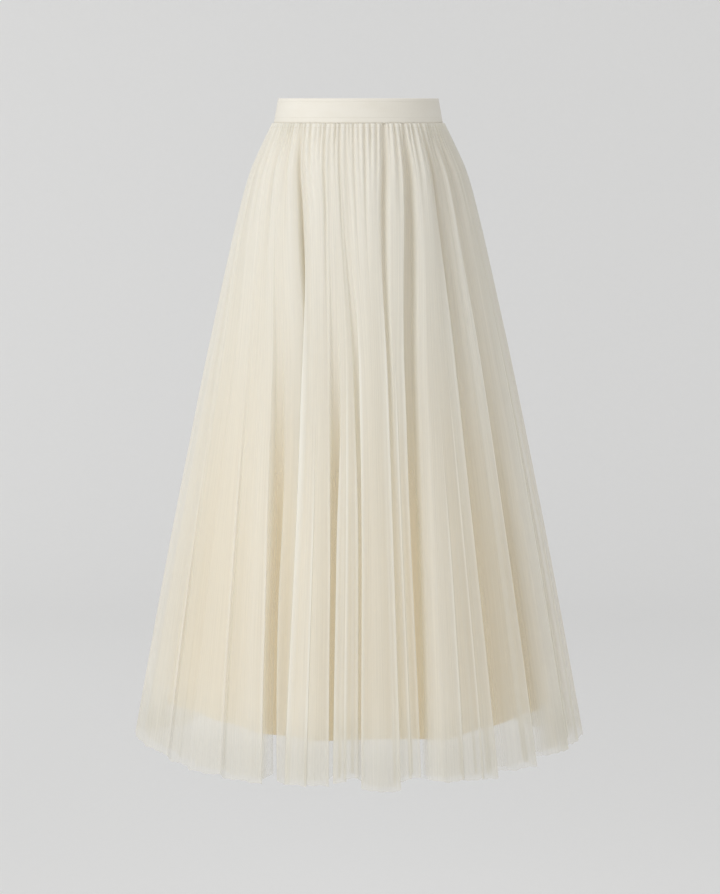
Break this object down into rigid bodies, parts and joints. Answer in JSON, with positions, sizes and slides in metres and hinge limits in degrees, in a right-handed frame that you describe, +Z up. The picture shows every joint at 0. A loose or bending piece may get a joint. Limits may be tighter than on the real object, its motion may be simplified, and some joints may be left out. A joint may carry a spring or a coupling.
{
  "type": "gathered tulle maxi skirt with an elastic waistband",
  "caption": "Full-length tulle skirt, softly gathered onto a wide elastic waistband, with two sheer layers over a shorter opaque lining.",
  "frame": {"origin": "centre of the waist opening, halfway up the waistband", "axes": "+Z up through the waist, -Y towards the front of the skirt, +X towards the right of someone who looks at its front"},
  "size_m": [0.6494, 0.5472, 0.9413],
  "materials": {
    "elastic": "smooth knitted elastic, matt with a faint sheen",
    "outer_tulle": "fine soft net, sheer, raw cut at the hem",
    "inner_tulle": "fine soft net, sheer, raw cut at the hem",
    "lining": "opaque smooth woven lining with a soft sheen"
  },
  "bodies": {
    "root": {"waistband": "elastic", "tulle_outer_front": "outer_tulle", "tulle_outer_back": "outer_tulle", "tulle_inner_front": "inner_tulle", "tulle_inner_back": "inner_tulle", "lining_front": "lining", "lining_back": "lining"}
  },
  "joints": []
}
